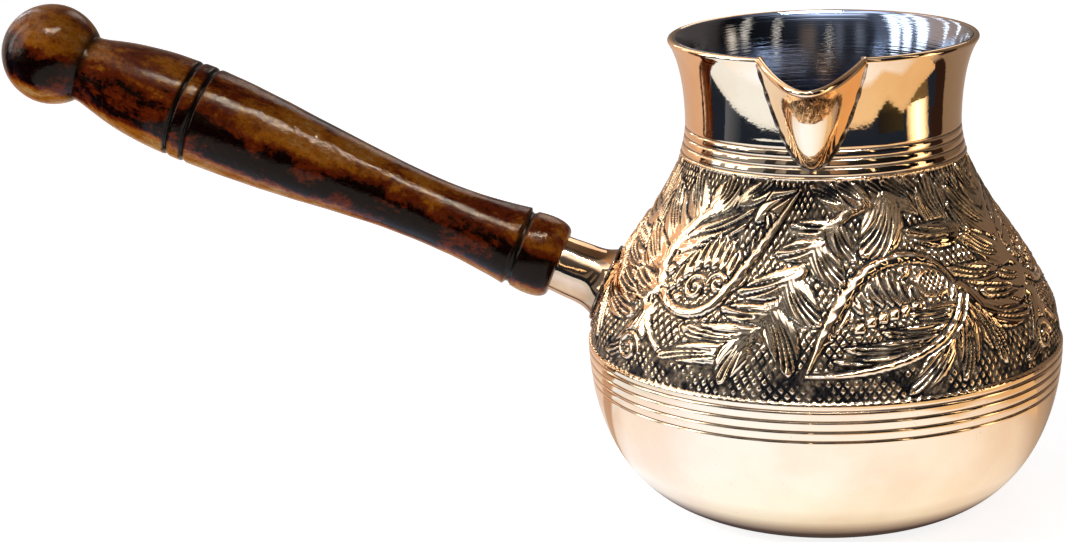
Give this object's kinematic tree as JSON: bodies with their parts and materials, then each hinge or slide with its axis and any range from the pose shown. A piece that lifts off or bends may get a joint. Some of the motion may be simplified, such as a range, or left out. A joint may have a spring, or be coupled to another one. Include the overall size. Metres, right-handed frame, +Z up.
{
  "type": "turkish coffee pot",
  "caption": "Copper cezve with a round embossed belly, narrow neck, soldered beak, tinned inside, and a long turned wooden handle pinned in a copper socket.",
  "frame": {"origin": "centre of the flat base, on the surface that the pot stands on", "axes": "+Z up along the pot's axis; the beak points along -Y; the handle runs out along -X and rises"},
  "size_m": [0.2294, 0.1, 0.1063],
  "materials": {
    "copper": "polished copper, engraved band darkened in its recesses",
    "tin": "wiped tin with fine spinning lines",
    "solder": "dull, slightly darkened",
    "wood": "varnished hardwood, mottled brown",
    "nail": "dull iron"
  },
  "bodies": {
    "root": {"pot_body": "copper", "tin_lining": "tin", "beak": "copper", "beak_solder": "solder", "handle_socket": "copper", "socket_solder": "solder", "handle_grip": "wood", "socket_nail": "nail"}
  },
  "joints": []
}
